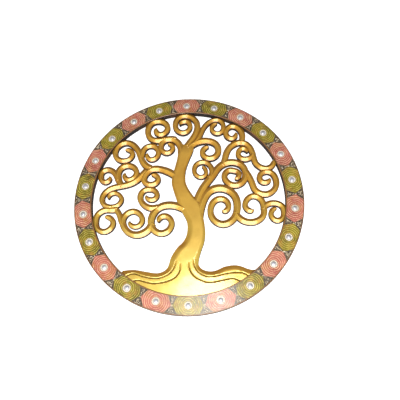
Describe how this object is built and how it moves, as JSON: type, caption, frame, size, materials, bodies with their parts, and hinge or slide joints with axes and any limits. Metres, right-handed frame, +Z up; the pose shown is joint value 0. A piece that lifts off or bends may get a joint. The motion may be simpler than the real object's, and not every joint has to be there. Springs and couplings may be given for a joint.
{
  "type": "tree of life wall plaque",
  "caption": "Round openwork wall plaque: a gold scroll-branched tree inside a dot-painted ring set with glass studs, with a swinging hanging loop let into the back.",
  "frame": {"origin": "centre of the round plaque on its flat wall face", "axes": "+X to the right seen from the front, +Z up when hung, +Y into the wall; the painted front faces -Y"},
  "size_m": [0.3999, 0.0137, 0.4],
  "materials": {
    "painted_ring": "dot-painted, satin",
    "painted_tree": "gold paint with dark antiquing, satin",
    "stud_glass": "grey foil-backed glass",
    "hanger_steel": "plated"
  },
  "bodies": {
    "plaque": {"arch_inner_curl": "painted_tree", "crown_left_curl": "painted_tree", "crown_right_curl": "painted_tree", "crown_top_curl": "painted_tree", "far_left_bough": "painted_tree", "far_left_low_curl": "painted_tree", "glass_studs_on_green": "stud_glass", "glass_studs_on_pink": "stud_glass", "hanger_plate": "hanger_steel", "hanger_screws": "hanger_steel", "leader_left_curl": "painted_tree", "leader_right_curl": "painted_tree", "left_hook": "painted_tree", "left_link": "painted_tree", "left_pair_inner": "painted_tree", "left_pair_outer": "painted_tree", "left_ring_curl": "painted_tree", "low_left_bough": "painted_tree", "low_right_bough": "painted_tree", "low_right_edge_curl": "painted_tree", "low_right_mid_curl": "painted_tree", "right_edge_curl": "painted_tree", "ring": "painted_ring", "root_left_inner": "painted_tree", "root_left_outer": "painted_tree", "root_mound": "painted_tree", "root_right_inner": "painted_tree", "root_right_outer": "painted_tree", "trunk": "painted_tree", "up_left_bough": "painted_tree", "up_right_arch": "painted_tree", "up_right_bough": "painted_tree", "up_right_low_curl": "painted_tree", "upper_right_curl": "painted_tree", "wall_pair_inner": "painted_tree", "wall_pair_outer": "painted_tree"},
    "loop": {"hanger_loop": "hanger_steel"}
  },
  "joints": [
    {"name": "hanger_loop_hinge", "type": "hinge", "parent": "plaque", "child": "loop", "pos_m": [0, -0.0023, 0.185], "axis": [1, 0, 0], "range_deg": [0, 165]}
  ]
}
